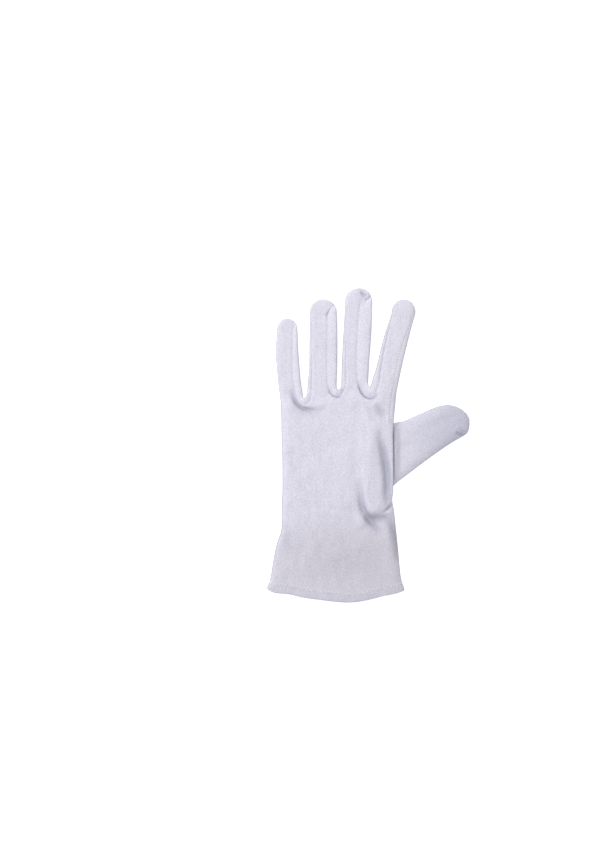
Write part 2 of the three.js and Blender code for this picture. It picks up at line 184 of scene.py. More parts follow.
class Web:
    """The seam and the gap's edge as x for a given y, on the left and the right of a web."""

    def __init__(self, left_finger, right_finger, name, low, turn, gap, left, right):
        self.name, self.low, self.gap = name, low, gap
        self.fingers = (left_finger, right_finger)
        self.turn = turn
        self.ends = (left[3], right[3])
        self.lines = [
            smooth_curve([low[1], (low[1] + side[3]) / 2, side[3]], side[:3])
            for side in (left, right)
        ]

    def finger_edge(self, side, y):
        finger = self.fingers[side]
        return finger.right(y) if side == 0 else finger.left(y)

    def edge(self, side, y):
        """Edge of the gap: the finger's edge, rounded to the gap's lowest point."""
        turned = round_over((y - self.gap[1]) / self.gap[2])
        return mix(self.gap[0], self.finger_edge(side, y), turned)

    def seam(self, side, y):
        """A quarter oval from the lowest point to the seam's line, which meets the finger's edge
        within SEAM_END of its end."""
        turned = round_over((y - self.low[1]) / self.turn[side])
        line = mix(self.low[0], self.lines[side](y), turned)
        apart = round_over((self.ends[side] - y) / SEAM_END)
        return mix(self.finger_edge(side, y), line, apart)


webs = [Web(fingers[k], fingers[k + 1], **WEBS[k]) for k in range(INDEX)]


# The rise over the thumb. It starts at LIFT_SIDE, which leans to the right further up, and is
# full LIFT_RUN past it. Below, it goes from the line LIFT_FOOT to LIFT_FULL, the thumb's lower
# edge, each the y at LIFT_CORNER and a slope. Above, it fades along the index finger.
THUMB_LIFT = 7.0
LIFT_SIDE = -12
LIFT_SIDE_LEAN = 0.3
LIFT_SIDE_LEANS_FROM = 16
LIFT_RUN = 15
LIFT_CORNER = 19
LIFT_FOOT = (-57, 0.37)
LIFT_FULL = (-32, 1.1)
LIFT_FADES_FROM = 22
LIFT_FADE = 84


def lift_at(x, y):
    """Rise of the cloth that lies on the thumb: full beside the hole and along the thumb's lower
    edge, none past the hole's far side and on the palm below, and slow to fade along the index
    finger. It is the product of three smooth steps."""
    side_x = LIFT_SIDE + LIFT_SIDE_LEAN * np.maximum(y - LIFT_SIDE_LEANS_FROM, 0)
    foot_y = LIFT_FOOT[0] - LIFT_FOOT[1] * (LIFT_CORNER - x)
    full_y = LIFT_FULL[0] - LIFT_FULL[1] * (LIFT_CORNER - x)
    across = smooth_step((x - side_x) / LIFT_RUN)
    below = smooth_step((y - foot_y) / (full_y - foot_y))
    above = 1 - smooth_step((y - LIFT_FADES_FROM) / LIFT_FADE)
    return THUMB_LIFT * across * below * above


# Folds and dents of the back: a line of points, half width, height at its middle. First those
# over the thumb's base, then round its foot and to the wrist.
FOLDS = [
    ([(-14, 22), (-13, -10), (-14, -50)], 14.0, 2.1),
    ([(-1.0, 10), (-1.5, -20), (-0.5, -48)], 5.0, 0.4),
    ([(-3.4, -30), (-2.7, -43), (1.8, -50.4), (7.6, -46.3), (7.2, -34)], 2.0, 0.6),
    ([(1.2, -29), (1.2, -37.5), (2.2, -44)], 2.0, -0.8),
    ([(7.6, 11.5), (9.0, 6), (10.9, -3), (13.0, -14), (14.1, -23), (14.5, -40), (14.2, -50)],
     3.2, -4.0),
    ([(18.4, 4), (18.6, -15), (18.4, -36)], 0.9, 0.4),
    ([(-6.6, -25), (-5.8, -36), (-5.2, -44.6), (-3.4, -50.5), (-0.5, -55.6), (4.8, -62),
      (10.5, -69)], 2.8, -3.9),
    ([(-3.0, -53.5), (5, -56.2), (15.5, -55.5)], 3.4, -2.6),
    ([(10.5, -51.5), (14.5, -49), (19.2, -44.4)], 0.9, -2.4),
    ([(15.6, -52.5), (17.8, -50.3)], 1.4, 0.7),
    ([(12.5, -52), (17.3, -60), (20.0, -68), (21.8, -77), (22.8, -90)], 3.0, -3.0),
    # under the index finger
    ([(4.4, 31.0), (9.0, 25.5), (14.2, 20.5)], 2.8, -2.0),
    ([(-0.5, 33), (1.5, 25), (4.0, 16)], 3.2, -1.1),
    ([(-4.9, 26), (-3.6, 19), (-1.6, 11), (-0.6, -4)], 1.6, -0.5),
    ([(13.0, 22.8), (15.8, 18.6), (18.2, 15.0)], 1.4, 0.8),
    # round the three webs
    ([(-58.2, 43), (-56.8, 36.2), (-54.0, 31.4), (-49.8, 28.2), (-45.0, 27.0), (-40.5, 26.8)],
     1.5, -2.9),
    ([(-57, 34), (-51, 26.6), (-42, 25.4), (-31, 27.5)], 3.2, -1.3),
    ([(-29.6, 43), (-28.2, 39.8), (-25.6, 37.6), (-22.4, 37.0), (-19.2, 38.6)], 1.0, -2.0),
    ([(-27.5, 41.4), (-25.5, 40.2), (-23.0, 40.4)], 1.6, 0.9),
    ([(-6.8, 47), (-5.6, 42.2), (-3.4, 38.6), (0.0, 36.4), (4.4, 36.4), (7.0, 39.6)], 1.3, -3.1),
    # at the folded edge and towards the wrist
    ([(-67, -6), (-62, -6.8), (-57, -8)], 1.5, -0.5),
    ([(-45, -53), (-28, -52.5), (-9, -53.5)], 2.4, 0.4),
    ([(-47, -75), (-42, -77), (-36, -78)], 5.5, 0.8),
    ([(-67, -58), (-62, -70), (-61, -84)], 4.5, -1.0),
    # a pressed line across the fingers, and puckers at the tips
    ([(-74, 73.2), (-20, 73.6), (40, 73.0)], 1.1, -0.3),
    ([(-6.0, 117.2), (-3.6, 115.4), (-1.2, 112.8)], 1.2, -2.4),
    ([(2.8, 115.0), (1.2, 112.2), (-1.6, 109.0), (-6.0, 105.4)], 1.3, -3.4),
    ([(1.6, 117.4), (0.2, 114.6), (-1.4, 111.0)], 0.8, 0.9),
    ([(-25.2, 105.6), (-28.0, 102.8), (-30.6, 100.0), (-31.4, 96.0)], 1.2, -1.5),
]


def lengths(line):
    """Distance along a line of points, at each of them."""
    return np.concatenate([[0], np.cumsum(np.linalg.norm(np.diff(line, axis=0), axis=1))])


def along_line(line, x, y):
    """For each point, how far in plan it is from a line of points, and the share of the line's
    length at which it is nearest."""
    starts = lengths(line)
    near, share = np.full(x.shape, 1e9), np.zeros(x.shape)
    for (ax, ay), (bx, by), step, start in zip(line[:-1], line[1:], np.diff(starts), starts):
        t = np.clip(((x - ax) * (bx - ax) + (y - ay) * (by - ay)) / (step**2 + 1e-12), 0, 1)
        away = np.hypot(x - ax - t * (bx - ax), y - ay - t * (by - ay))
        closer = away < near
        near = np.where(closer, away, near)
        share = np.where(closer, (start + t * step) / starts[-1], share)
    return near, share


def rounded_line(points, steps=24):
    """The points joined by a smooth curve instead of straight runs."""
    points = np.asarray(points, float)
    at = lengths(points)
    dense = np.linspace(0, at[-1], steps + 1)
    return np.stack([smooth_curve(at, points[:, c])(dense) for c in (0, 1)], axis=1)


SWELL_POWER = 0.7


def folds_at(x, y, folds):
    """Sum of smooth ridges and valleys: each falls off beside its line as exp(-(d / half width)^2),
    and swells from nothing at its ends as a power of the sine of the share along it."""
    total = np.zeros_like(x)
    for points, half_width, height in folds:
        away, share = along_line(rounded_line(points), x, y)
        swell = np.sin(np.pi * np.clip(share, 0, 1)) ** SWELL_POWER
        total += height * swell * np.exp(-((away / half_width) ** 2))
    return total


UNEVEN_SEED = 11
UNEVEN_WAVES = 26
SHORTEST_WAVE = 7
LONGEST_OVER_SHORTEST = 5.7
WAVE_LEAN = 0.75
UNEVEN_HEIGHT = 0.045  # of a wave that is UNEVEN_LENGTH long, and more on a longer one
UNEVEN_LENGTH = 12
UNEVEN_GROWTH = 0.8


def unevenness(x, y):
    """Cloth that has been worn and washed isn't quite flat: a sum of sine waves of 7 to 40 mm, most
    of which run across the hand. Lengths, directions and phases are drawn from one seed."""
    draw = np.random.default_rng(UNEVEN_SEED)
    total = np.zeros_like(x)
    for _ in range(UNEVEN_WAVES):
        length = SHORTEST_WAVE * LONGEST_OVER_SHORTEST ** draw.random()
        angle = draw.normal(0.0, WAVE_LEAN)
        phase = draw.random() * 2 * np.pi
        wave = 2 * np.pi / length * (x * np.cos(angle) + y * np.sin(angle)) + phase
        total += UNEVEN_HEIGHT * (length / UNEVEN_LENGTH) ** UNEVEN_GROWTH * np.sin(wave)
    return total


def dense_ends(count, share=1.0):
    """count steps from 0 to 1 that shrink towards both ends, as the cosine does."""
    t = np.linspace(0, 1, count + 1)
    return mix(t, 0.5 - 0.5 * np.cos(np.pi * t), share)


SEAM_STEPS = 60


def seam_line(web):
    """The web's seam as points, from one finger's tip round to the next one's."""
    left_y = web.low[1] + (web.ends[0] - web.low[1]) * dense_ends(SEAM_STEPS)[::-1]
    right_y = web.low[1] + (web.ends[1] - web.low[1]) * dense_ends(SEAM_STEPS)
    return np.concatenate([
        np.stack([web.seam(0, left_y), left_y], axis=1),
        np.stack([web.seam(1, right_y), right_y], axis=1)[1:],
    ])


# The stitched seam that closes the trank, just inside the index side's edge
CLOSING_SEAM = np.array([
    (34.9, 102.6), (31.7, 92.4), (28.1, 83.9), (24.2, 72.4), (21.4, 61.8), (19.9, 54.6),
    (18.9, 46.1), (17.4, 39.0), (16.4, 31.2), (15.6, 24.7), (16.2, 18.3), (18.1, 15.5),
])

SEAM_DIP = 0.5
SEAM_DIP_REACH = 0.7
ALONG_FINGER_STRENGTH = 0.4  # of a web's seam, from SLACKENING above its lowest point on
SLACKENING = 22
CLOSING_SEAM_STRENGTH = 0.25
PILLOW_RISE = 0.24
PILLOW_AT = 1.9
PILLOW_REACH = 0.9


def seam_relief(x, y):
    """Every seam pulls the cloth down, and the cloth stands up a little on either side of it: a
    narrow bell downwards, and a wider one upwards at the distance PILLOW_AT. The webs' seams are
    tightest round their lowest points."""
    lines = [(CLOSING_SEAM, CLOSING_SEAM_STRENGTH)]
    for web in webs:
        slack = smooth_step((y - web.low[1]) / SLACKENING)
        lines.append((seam_line(web), mix(1, ALONG_FINGER_STRENGTH, slack)))
    dip = np.zeros_like(x)
    for line, strength in lines:
        away, _ = along_line(line, x, y)
        dip -= strength * SEAM_DIP * np.exp(-((away / SEAM_DIP_REACH) ** 2))
        dip += strength * PILLOW_RISE * np.exp(-(((away - PILLOW_AT) / PILLOW_REACH) ** 2))
    return dip


def joined(a, b, power=8):
    """Smooth maximum of two heights: the eighth root of the sum of their eighth powers."""
    return (np.maximum(a, 0) ** power + np.maximum(b, 0) ** power) ** (1 / power)


# Heights of the folded edges over the floor, how far in the cloth is rounded, and how squarely
BODY_EDGE_HEIGHT = 4.5
BODY_OVER_THUMB = 7.6  # thickness of the body where it is lifted in full
FINGER_EDGE_HEIGHT = 4.05
BACK_ROUNDING = 9.0
BACK_FLATNESS = 3.0
FINGER_FLATNESS = 4.0
PALM_ROUNDING = 5.0
FINGER_PALM_ROUNDING = 4.0
WEB_ROUNDING = 10.0
FINGER_GROWTH = 15  # a finger rises out of the body over this length
TIP_CROWN = 0.6  # powers by which a tip thins on its back and on its palm side
TIP_BELLY = 0.3


def shape_at(x, y, finger, out_of_body):
    """Lift, edge height, upper side's height over the edge, and how far down the underside is,
    where the body and one finger run into each other. out_of_body goes from 0 to 1."""
    inside = np.minimum(x - body_left(y), body_right(y) - x)
    from_web = web_y(x) - y
    pointwise = lift_at(x, y)
    thick = mix(body_thick(y), BODY_OVER_THUMB, pointwise / THUMB_LIFT)
    body_up = (thick - BODY_EDGE_HEIGHT) * round_over(inside / BACK_ROUNDING, BACK_FLATNESS)
    body_up = body_up * round_over(from_web / WEB_ROUNDING)
    body_down = round_over(inside / PALM_ROUNDING) * round_over(from_web / PALM_ROUNDING)
    left, right = finger.left(y), finger.right(y)
    width = right - left
    side = np.minimum(x - left, right - x)
    grown = smooth_step((y - finger.root_y) / FINGER_GROWTH)
    tip = finger.narrowing(y)
    finger_up = (finger.thick(y) - FINGER_EDGE_HEIGHT) * grown * tip**TIP_CROWN
    finger_up = finger_up * round_over(2 * side / width, FINGER_FLATNESS)
    finger_down = round_over(side / np.minimum(FINGER_PALM_ROUNDING, width / 2))
    finger_down = finger_down * grown * tip**TIP_BELLY
    lift = mix(pointwise, lift_at((left + right) / 2, y), out_of_body)
    edge = mix(BODY_EDGE_HEIGHT, FINGER_EDGE_HEIGHT, out_of_body)
    return lift, edge, joined(body_up, finger_up), np.minimum(joined(body_down, finger_down), 1)


FULL_RELIEF = 3


def with_relief(up, relief):
    """Height over the edge with relief on it, in full where that height is FULL_RELIEF or more and
    in proportion below it, so that edges stay as they are."""
    return up + np.minimum(up / FULL_RELIEF, 1) * relief


def back_relief(x, y):
    """Folds, seams and unevenness of the back."""
    return folds_at(x, y, FOLDS) + seam_relief(x, y) + unevenness(x, y)


def back_height(x, y, finger, out_of_body):
    """Height of the back's outer side."""
    lift, edge, up, _ = shape_at(x, y, finger, out_of_body)
    return lift + edge + with_relief(up, back_relief(x, y))


# The trank's grid starts HEM_JOINT from the cuff's edge. Crowding is how far its steps shrink at
# the ends of a row or column. The columns drift to the webs as a power of the way up. Above the
# foot line, out_of_body goes to 1 over LEVELLING, and the outer edges turn into a finger's.
HEM_JOINT = 6.9
ROWS_BODY = 150
ROWS_FINGER = 88
COLUMNS = 24
BODY_ROW_CROWDING = 0.72
FINGER_ROW_CROWDING = 0.85
COLUMN_CROWDING = 0.6
LEVELLING = 30
EDGE_BLEND = 14
DRIFT_POWER = 4
LEFT_FOOT = (-67.0, 31.0)
RIGHT_FOOT = (20.5, 33.5)
LEVEL_SHARE = 0.4


def foot_line(x):
    """y of the row that the fingers start from: through the lowest point of each web, level past
    it for LEVEL_SHARE of the way to the next one, then a smooth step."""
    stops = np.array([LEFT_FOOT, *[web.low for web in webs], RIGHT_FOOT])
    i = np.clip(np.searchsorted(stops[:, 0], x, side="right") - 1, 0, len(stops) - 2)
    share = (x - stops[i, 0]) / (stops[i + 1, 0] - stops[i, 0])
    step = smooth_step((share - LEVEL_SHARE) / (1 - LEVEL_SHARE))
    return mix(stops[i, 1], stops[i + 1, 1], step)


def trank_plan():
    """x, y and out_of_body on a grid with slits: ROWS_BODY rows from the hem to the foot line,
    closer near it, then ROWS_FINGER rows up each finger's strip between its two seams."""
    share = dense_ends(COLUMNS, COLUMN_CROWDING)[None, :]
    web_x = [web.low[0] for web in webs]
    stops_x = np.array([body_left(LEFT_FOOT[1]), *web_x, body_right(RIGHT_FOOT[1])])
    stops = (stops_x - stops_x[0]) / (stops_x[-1] - stops_x[0])
    even = np.linspace(0, 1, ROWS_BODY + 1)[:, None]
    along = mix(even, 1 - (1 - even) ** 2, BODY_ROW_CROWDING)
    up = dense_ends(ROWS_FINGER, FINGER_ROW_CROWDING)[1:, None]
    strips = []
    for k, finger in enumerate(fingers):
        across = mix(stops[k], stops[k + 1], share)
        foot_x = mix(stops_x[k], stops_x[k + 1], share)
        foot = foot_line(foot_x)
        cuff_x = mix(CUFF_EDGE[0, 0], CUFF_EDGE[-1, 0], across)
        y = mix(cuff_y(cuff_x) + HEM_JOINT, foot, along)
        drift = foot_x - mix(body_left(foot), body_right(foot), across)
        x = mix(body_left(y), body_right(y), across) + drift * along**DRIFT_POWER
        finger_y = mix(foot, finger.tip_y, up)
        left_y, right_y = finger_y[:, :1], finger_y[:, -1:]
        left = finger.left(left_y) if k == 0 else webs[k - 1].seam(1, left_y)
        right = finger.right(right_y) if k == INDEX else webs[k].seam(0, right_y)
        if k == 0:
            out = smooth_step((left_y - foot[:, :1]) / EDGE_BLEND)
            left = mix(body_left(left_y), left, out)
        if k == INDEX:
            out = smooth_step((right_y - foot[:, -1:]) / EDGE_BLEND)
            right = mix(body_right(right_y), right, out)
        strips.append((
            np.concatenate([x, mix(left, right, share)]),
            np.concatenate([y, finger_y]),
            np.concatenate([0 * y, smooth_step((finger_y - foot) / LEVELLING)]),
        ))
    return strips


def trank_surfaces(strips):
    """For each strip, points on the back and on the palm side."""
    backs, palms = [], []
    for (x, y, out_of_body), finger in zip(strips, fingers):
        lift, edge, _, down = shape_at(x, y, finger, out_of_body)
        backs.append(np.stack([x, y, back_height(x, y, finger, out_of_body)], axis=2))
        palms.append(np.stack([x, y, lift + edge * (1 - down)], axis=2))
    return backs, palms


def put(name, points, faces, node, slot, painted_crease_shade=None):
    """A mesh object from millimetre points and faces, which rides on the glove and stands for a
    node. Its open borders are cut edges of cloth, so they are sharp. The last argument is the depth
    of the valleys at each point, which the material paints as shade in the creases."""
    mesh = bpy.data.meshes.new(name)
    mesh.from_pydata((np.asarray(points) * MM).tolist(), [], [list(f) for f in faces])
    mesh.validate()
    mesh.polygons.foreach_set("use_smooth", np.ones(len(mesh.polygons), bool))
    if painted_crease_shade is not None:
        mesh.attributes.new("crease_shade", "FLOAT", "POINT").data.foreach_set("value", painted_crease_shade)
    edge_of_corner = np.zeros(len(mesh.loops), int)
    mesh.loops.foreach_get("edge_index", edge_of_corner)
    uses = np.bincount(edge_of_corner, minlength=len(mesh.edges))
    mesh.edges.foreach_set("use_edge_sharp", uses == 1)
    mesh.update()
    piece = bpy.data.objects.new(name, mesh)
    bpy.context.scene.collection.objects.link(piece)
    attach(piece, "root")
    if node:
        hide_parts(node)
    return piece


def thicken(piece, thickness):
    """Cloth's thickness, laid inwards from the outer side."""
    solid = piece.modifiers.new("cloth", "SOLIDIFY")
    solid.thickness = thickness * MM
    solid.offset = -1


def grid_faces(index, flip=False):
    """Quads between neighbouring entries of a grid of point numbers."""
    quads = np.stack([index[:-1, :-1], index[:-1, 1:], index[1:, 1:], index[1:, :-1]], axis=-1)
    quads = quads.reshape(-1, 4)
    return quads[:, ::-1] if flip else quads


DEEP_CREASE = 3.2


def crease_shade_share(points, folds):
    """How deep the folds' valleys are at each point, as a share of DEEP_CREASE. The material
    paints shade in the creases by it.
    """
    return np.clip(-folds_at(points[:, 0], points[:, 1], folds) / DEEP_CREASE, 0, 1)


# The oval hole that the thumb is set in: middle x and y, half width, half length
HOLE = (1.5, -24.0, 11.0, 27.5)


def off_hole(points):
    """x and y from the hole's middle as shares of its half width and half length."""
    return (points[:, 0] - HOLE[0]) / HOLE[2], (points[:, 1] - HOLE[1]) / HOLE[3]


def build_trank():
    """The back and the palm side are two grids of the same plan, which share the points of their
    common edges. The palm's points in the thumb's hole are drawn to its rim."""
    backs, palms = trank_surfaces(trank_plan())
    rows = ROWS_BODY + ROWS_FINGER + 1
    across = COLUMNS + 1
    points, back_faces, palm_faces = [], [], []
    before = None
    for k in range(len(fingers)):
        back_index = np.arange(rows * across).reshape(rows, across) + 2 * k * rows * across
        palm_index = back_index + rows * across
        points += [backs[k].reshape(-1, 3), palms[k].reshape(-1, 3)]
        if before is not None:
            back_index[: ROWS_BODY + 1, 0] = before[0][: ROWS_BODY + 1, -1]
            palm_index[: ROWS_BODY + 1, 0] = before[1][: ROWS_BODY + 1, -1]
        y = backs[k][:, 0, 1]
        left_shared = np.ones(rows, bool) if k == 0 else y >= webs[k - 1].ends[1]
        y = backs[k][:, -1, 1]
        right_shared = np.ones(rows, bool) if k == INDEX else y >= webs[k].ends[0]
        palm_index[left_shared, 0] = back_index[left_shared, 0]
        palm_index[right_shared, -1] = back_index[right_shared, -1]
        palm_index[-1] = back_index[-1]
        back_faces.append(grid_faces(back_index))
        palm_faces.append(grid_faces(palm_index, flip=True))
        before = (back_index, palm_index)
    points = np.concatenate(points)
    palm_faces = np.concatenate(palm_faces)
    off_x, off_y = off_hole(points)
    radius = np.hypot(off_x, off_y)
    on_palm = np.zeros(len(points), bool)
    on_palm[np.unique(palm_faces)] = True
    inside = on_palm & (radius < 1)
    palm_faces = palm_faces[~inside[palm_faces].all(axis=1)]
    pull = np.where(inside, 1 / np.maximum(radius, 1e-6), 1)
    points[:, 0] = HOLE[0] + off_x * HOLE[2] * pull
    points[:, 1] = HOLE[1] + off_y * HOLE[3] * pull
    points[inside, 2] = lift_at(points[inside, 0], points[inside, 1])
    faces = np.concatenate([np.concatenate(back_faces), palm_faces])
    used, flat = np.unique(faces, return_inverse=True)
    # Painted shade in the back's creases, and none on the palm side
    painted_crease_shade = np.where(on_palm, 0, crease_shade_share(points, FOLDS))
    return points[used], flat.reshape(faces.shape), painted_crease_shade[used]


# Cotton jersey: matt lavender white, fine wales along the hand, fuzz, soft streaks and mottling,
# and a wrist that is a little warmer. Painted shade darkens the wrist, the creases and the faces
# that turn down at the cloth's edges. Pairs of tones multiply the colour where their pattern is low
# and where it is high. A patch of painted shade has its middle and half widths in metres.
COTTON = (0.72, 0.705, 0.80)
COTTON_ROUGHNESS = 0.93
COTTON_SHEEN = 0.05
WALES_PER_METRE = 1050
COURSES_PER_METRE = 1400
STREAK_TONES = ((0.95, 0.95, 0.96), (1.04, 1.04, 1.04))
FUZZ_TONES = ((0.76, 0.76, 0.79), (1.22, 1.22, 1.19))
UNSHADED = (1, 1, 1)
# Painted shade in the creases: fold valleys are darkened in proportion to their depth
CREASE_SHADE_TONES = (UNSHADED, (0.68, 0.69, 0.72))
# Painted shade at the cloth's edges: faces that turn down towards the floor are darkened into a
# dark outline
EDGE_SHADE_TONES = ((0.52, 0.52, 0.58), UNSHADED)
EDGE_SHADE_LEVEL = (0.1, 0.6)  # how level a face is, as |z| of its normal, at those two tones
# Painted shade that darkens the wrist, with a slightly warmer tint
WRIST_SHADE_AND_WARMTH = ((-0.010, -0.090), (0.118, 0.047), (0.865, 0.84, 0.842))


def add_node(material, kind, inputs):
    """A shader node. Each input named gets a value or the output of another node."""
    tree = material.node_tree
    node = tree.nodes.new(kind)
    for name, given in inputs.items():
        if isinstance(given, bpy.types.NodeSocket):
            tree.links.new(given, node.inputs[name])
        else:
            node.inputs[name].default_value = given
    return node


def cotton(name, turn=0.0, tint=COTTON, shade_patch=WRIST_SHADE_AND_WARMTH):
    """Knitted cotton. Wales are waves across the cloth's grain and courses weaker ones along it,
    and noise drawn out along the grain gives the streaks. turn is the grain's angle from +Y. The
    last
    argument is a patch of painted shade: the middle, the half widths, and the tone there."""
    material = bpy.data.materials.new(name)
    material.use_nodes = True
    nodes, links = material.node_tree.nodes, material.node_tree.links
    shader = nodes["Principled BSDF"]
    shader.inputs["Roughness"].default_value = COTTON_ROUGHNESS
    shader.inputs["Sheen Weight"].default_value = COTTON_SHEEN
    shader.inputs["Sheen Roughness"].default_value = 0.5
    shader.inputs["Specular IOR Level"].default_value = 0.2
    where = add_node(material, "ShaderNodeTexCoord", {}).outputs
    inputs = {"Rotation": (0, 0, turn), "Vector": where["Object"]}
    grain = add_node(material, "ShaderNodeMapping", inputs).outputs["Vector"]

    def waves(direction, per_metre, distortion):
        """Ribs at so many per metre: the node's own scale is pi / 10 of that."""
        wave = add_node(material, "ShaderNodeTexWave", {
            "Scale": per_metre * np.pi / 10, "Distortion": distortion, "Detail": 1,
            "Detail Scale": 2, "Vector": grain,
        })
        wave.bands_direction = direction
        return wave.outputs["Fac"]

    def noise(scale, stretch, detail):
        """Clouds, drawn out along the grain where the stretch is under 1."""
        inputs = {"Scale": (1, stretch, 1), "Vector": grain}
        spread = add_node(material, "ShaderNodeMapping", inputs).outputs["Vector"]
        inputs = {"Scale": scale, "Detail": detail, "Vector": spread}
        return add_node(material, "ShaderNodeTexNoise", inputs).outputs["Fac"]

    def bump(height, strength, distance, **under):
        """Relief with its depth in metres, on top of the one given as Normal."""
        inputs = {"Strength": strength, "Distance": distance, "Height": height, **under}
        return add_node(material, "ShaderNodeBump", inputs).outputs["Normal"]

    def toned(under, factor, tones):
        """Multiplies a colour by one that goes from the low to the high tone with the factor."""
        shade = nodes.new("ShaderNodeMix")
        shade.data_type = "RGBA"
        shade.inputs["A"].default_value = (*tones[0], 1)
        shade.inputs["B"].default_value = (*tones[1], 1)
        links.new(factor, shade.inputs["Factor"])
        product = nodes.new("ShaderNodeMix")
        product.data_type = "RGBA"
        product.blend_type = "MULTIPLY"
        product.inputs["Factor"].default_value = 1
        if isinstance(under, tuple):
            product.inputs["A"].default_value = (*under, 1)
        else:
            links.new(under, product.inputs["A"])
        links.new(shade.outputs["Result"], product.inputs["B"])
        return product.outputs["Result"]

    # From coarse to fine: mottling, streaks, fuzz, wales and courses
    relief = bump(noise(scale=110, stretch=0.7, detail=4), 0.4, 0.0005)
    relief = bump(noise(scale=500, stretch=0.14, detail=3), 0.4, 0.0002, Normal=relief)
    relief = bump(noise(scale=1100, stretch=0.8, detail=3), 0.8, 0.0003, Normal=relief)
    relief = bump(waves("X", WALES_PER_METRE, distortion=1.5), 0.4, 0.0001, Normal=relief)
    relief = bump(waves("Y", COURSES_PER_METRE, distortion=1.0), 0.2, 0.00008, Normal=relief)
    links.new(relief, shader.inputs["Normal"])

    (middle_x, middle_y), (half_x, half_y), tone = shade_patch
    around = add_node(material, "ShaderNodeMapping", {
        "Location": (-middle_x / half_x, -middle_y / half_y, 0),
        "Scale": (1 / half_x, 1 / half_y, 1), "Vector": where["Object"],
    })
    shade_gradient = add_node(material, "ShaderNodeTexGradient", {"Vector": around.outputs["Vector"]})
    shade_gradient.gradient_type = "SPHERICAL"
    softened = add_node(material, "ShaderNodeMapRange", {"Value": shade_gradient.outputs["Fac"]})
    softened.interpolation_type = "SMOOTHSTEP"
    facing = add_node(material, "ShaderNodeSeparateXYZ", {"Vector": where["Normal"]})
    level = nodes.new("ShaderNodeMath")
    level.operation = "ABSOLUTE"
    links.new(facing.outputs["Z"], level.inputs[0])
    lowest, highest = EDGE_SHADE_LEVEL
    inputs = {"From Min": lowest, "From Max": highest, "Value": level.outputs["Value"]}
    turned = add_node(material, "ShaderNodeMapRange", inputs)
    colour = toned(tint, noise(scale=260, stretch=0.12, detail=3), STREAK_TONES)
    colour = toned(colour, noise(scale=1000, stretch=0.8, detail=2), FUZZ_TONES)
    # Painted shade over the given patch, in its tone's tint
    colour = toned(colour, softened.outputs["Result"], (UNSHADED, tone))
    # Painted shade on the faces that turn down at the edges
    colour = toned(colour, turned.outputs["Result"], EDGE_SHADE_TONES)
    # Painted shade in the creases, from the valley depth stored on each point
    crease_shade = nodes.new("ShaderNodeAttribute")
    crease_shade.attribute_name = "crease_shade"
    colour = toned(colour, crease_shade.outputs["Fac"], CREASE_SHADE_TONES)
    links.new(colour, shader.inputs["Base Color"])
    return material


trank_points, trank_faces, trank_crease_shade = build_trank()
trank = put("trank_cloth", trank_points, trank_faces, "trank", "cotton", trank_crease_shade)
thicken(trank, CLOTH)
trank.data.materials.append(cotton("cotton_trank"))


# Fourchettes: the folded strips of the same jersey that make the facing sides of two fingers
# and the web between them. Each is sewn all along both sides, and puffs out between its seams.
STRIP_STEPS = 84
STRIP_ACROSS = 24
STRIP_END = 0.99999  # the last row stops just short of a point
STRIP_FLATNESS = 6.5
# A lighter tint of the same jersey on the fourchettes: painted light
STRIP_COTTON_LIT = (0.75, 0.735, 0.83)
ALLOWANCE = (1.1, 0.9)  # how far a seam's allowance lies under the trank, and how much deeper


def fourchette(web):
    """Columns along the web's path and rows from the back's seam over the gap's edge to the palm's.
    Between seam and edge a row is a squared quarter oval: in plan cos^(2/p), in height sin^(2/p).
    The first and last rows are the seam's allowances, which lie under the trank."""
    number = webs.index(web)
    quarter = np.linspace(-1, 1, STRIP_ACROSS + 1)[None, :] * np.pi / 2
    out = np.maximum(np.cos(quarter), 0) ** (2 / STRIP_FLATNESS)
    rise = np.abs(np.sin(quarter)) ** (2 / STRIP_FLATNESS)
    branches = []
    for side in (0, 1):
        along = dense_ends(STRIP_STEPS)[:, None] * STRIP_END
        seam_y = mix(web.low[1], web.ends[side], along)
        edge_y = mix(web.gap[1], web.ends[side], along)
        seam_x, edge_x = web.seam(side, seam_y), web.edge(side, edge_y)
        out_of_body = smooth_step((seam_y - web.low[1]) / LEVELLING)
        lift, edge, up, down = shape_at(seam_x, seam_y, fingers[number + side], out_of_body)
        x, y = mix(seam_x, edge_x, out), mix(seam_y, edge_y, out)
        top = with_relief(up, back_relief(x, y)) * rise
        bottom = edge * down * rise
        z = lift + edge + np.where(quarter < 0, top, -bottom)
        rows = np.stack([x, y, z], axis=2)
        away = np.concatenate([seam_x - edge_x, seam_y - edge_y], axis=1)
        away = away / np.maximum(np.hypot(*away.T)[:, None], ALLOWANCE[0]) * ALLOWANCE[0]
        under_back = rows[:, :1] + np.insert(away, 2, -ALLOWANCE[1], axis=1)[:, None]
        over_palm = rows[:, -1:] + np.insert(away, 2, ALLOWANCE[1], axis=1)[:, None]
        branches.append(np.concatenate([under_back, rows, over_palm], axis=1))
    return np.concatenate([branches[0][::-1], branches[1][1:]])


for web in webs:
    surface = fourchette(web)
    index = np.arange(surface.shape[0] * surface.shape[1]).reshape(surface.shape[:2])
    faces = grid_faces(index, flip=True)
    strip = put(web.name + "_cloth", surface.reshape(-1, 3), faces, web.name, "fourchette_cotton")
    thicken(strip, CLOTH)
    strip.data.materials.append(cotton("cotton_" + web.name, tint=STRIP_COTTON_LIT))


